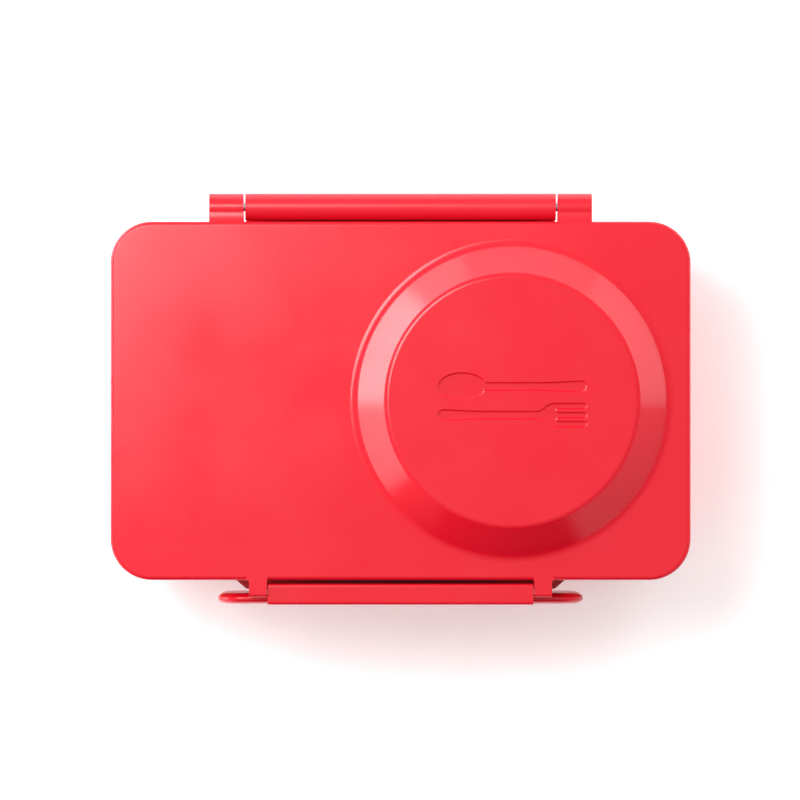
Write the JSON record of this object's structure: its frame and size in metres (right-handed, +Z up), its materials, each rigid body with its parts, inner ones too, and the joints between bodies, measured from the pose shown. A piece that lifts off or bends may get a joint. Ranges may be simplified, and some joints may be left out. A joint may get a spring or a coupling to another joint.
{
  "type": "lunch box",
  "caption": "Hinged lunch box with a domed lid, front swing latch with grip, divided cold bay and lift-out insulated food jar.",
  "frame": {"origin": "on the floor under the middle of the box", "axes": "+Z up, -Y is the latch side, +X is the dome side"},
  "size_m": [0.211, 0.1497, 0.0915],
  "materials": {
    "body_red": "satin moulded plastic with a very fine grain",
    "lid_red": "satin moulded plastic, slightly glossier on the dome",
    "latch_red": "satin moulded plastic",
    "liner_pale": "food-safe matt plastic",
    "jar_steel": "spun and brushed stainless steel",
    "pin_steel": "ground steel pin",
    "silicone": "translucent food-safe silicone",
    "jar_lid_red": "satin moulded plastic",
    "jar_plastic": "food-safe matt plastic"
  },
  "bodies": {
    "base": {"base_shell": "body_red", "base_liner": "liner_pale", "hinge_pin_left": "pin_steel", "hinge_pin_right": "pin_steel"},
    "lid": {"lid_shell": "lid_red", "lid_inner_panel": "liner_pale", "lid_gasket": "silicone", "latch_pin_left": "pin_steel", "latch_pin_right": "pin_steel"},
    "latch": {"latch_flap": "latch_red", "latch_snap_lip": "silicone"},
    "divider": {"divider": "liner_pale", "divider_seal": "silicone"},
    "jar": {"jar_outer_wall": "jar_steel", "jar_inner_bowl": "jar_steel", "jar_collar": "jar_plastic", "jar_base_cap": "silicone"},
    "jar_seal": {"jar_lid_gasket": "silicone"},
    "jar_lid": {"jar_lid_cap": "jar_lid_red", "jar_lid_liner": "jar_plastic"},
    "vent_button": {"jar_vent_button": "jar_plastic"}
  },
  "joints": [
    {"name": "lid_hinge", "type": "hinge", "parent": "base", "child": "lid", "pos_m": [0, 0.0706, 0.0761], "axis": [-1, 0, 0], "range_deg": [0, 110], "deforming": ["latch_snap_lip"]},
    {"name": "latch_swing", "type": "hinge", "parent": "lid", "child": "latch", "pos_m": [0, -0.0694, 0.0769], "axis": [-1, 0, 0], "range_deg": [0, 110]},
    {"name": "jar_lift", "type": "slide", "parent": "base", "child": "jar", "axis": [0, 0, 1], "range_m": [0, 0.027]},
    {"name": "jar_lid_lift", "type": "slide", "parent": "jar", "child": "jar_seal", "axis": [0, 0, 1], "range_m": [0, 0.0385]},
    {"name": "jar_lid_turn", "type": "hinge", "parent": "jar_seal", "child": "jar_lid", "pos_m": [0.0405, 0, 0.07], "axis": [0, 0, 1], "range_deg": [0, 120]},
    {"name": "vent_press", "type": "slide", "parent": "jar_lid", "child": "vent_button", "axis": [0, 0, -1], "range_m": [0, 0.0015], "stiffness_N_per_m": 400},
    {"name": "divider_lift", "type": "slide", "parent": "base", "child": "divider", "axis": [0, 0, 1], "range_m": [0, 0.0731]}
  ],
  "couplings": [
    {"joint": "jar_lift", "follows": "lid_hinge", "m_per_rad": 0.014},
    {"joint": "jar_lid_lift", "follows": "lid_hinge", "m_per_rad": 0.02},
    {"joint": "divider_lift", "follows": "lid_hinge", "m_per_rad": 0.038}
  ]
}
